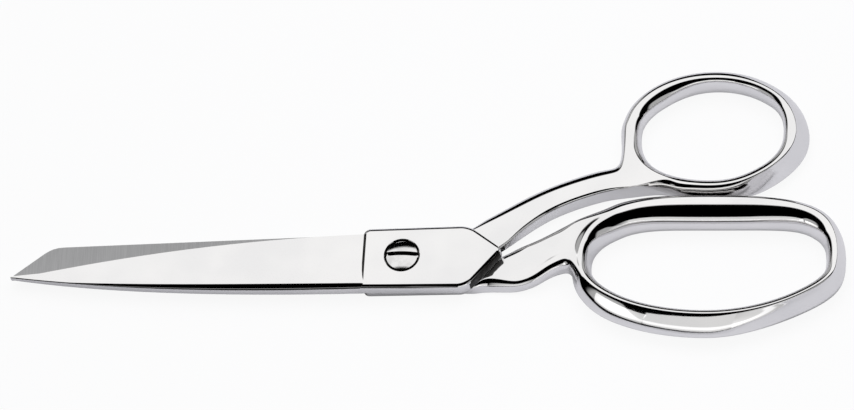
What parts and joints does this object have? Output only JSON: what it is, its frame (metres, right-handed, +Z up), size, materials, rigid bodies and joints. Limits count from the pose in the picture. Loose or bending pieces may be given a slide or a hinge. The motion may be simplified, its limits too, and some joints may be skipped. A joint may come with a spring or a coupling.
{
  "type": "dressmaker's shears",
  "caption": "Polished forged dressmaker's shears with a pointed blade, a broad clipped blade, a slotted pivot screw and bent handles with an oval finger bow and a smaller thumb bow.",
  "frame": {"origin": "on the pivot axis, in the plane of the finger half's flat outer face, which the closed shears lie on", "axes": "+X from the pivot towards the bows, with the blades along -X; +Y from the finger bow towards the thumb bow; +Z up, from the finger half to the thumb half along the pivot axis"},
  "size_m": [0.2102, 0.0725, 0.0105],
  "materials": {
    "polished_plating": "mirror-polished bright plating on forged steel, with satin ground inner blade faces",
    "screw_steel": "turned and polished steel with a sawn screwdriver slot"
  },
  "bodies": {
    "finger_half": {"finger_half": "polished_plating"},
    "thumb_half": {"thumb_half": "polished_plating"},
    "pivot_screw": {"pivot_screw": "screw_steel"}
  },
  "joints": [
    {"name": "blade_pivot", "type": "hinge", "parent": "finger_half", "child": "thumb_half", "pos_m": [0, 0, 0.0038], "axis": [0, 0, 1], "range_deg": [0, 130]},
    {"name": "screw_adjust", "type": "hinge", "parent": "finger_half", "child": "pivot_screw", "pos_m": [0, 0, 0.0038], "axis": [0, 0, 1], "range_deg": [-45, 90]}
  ]
}
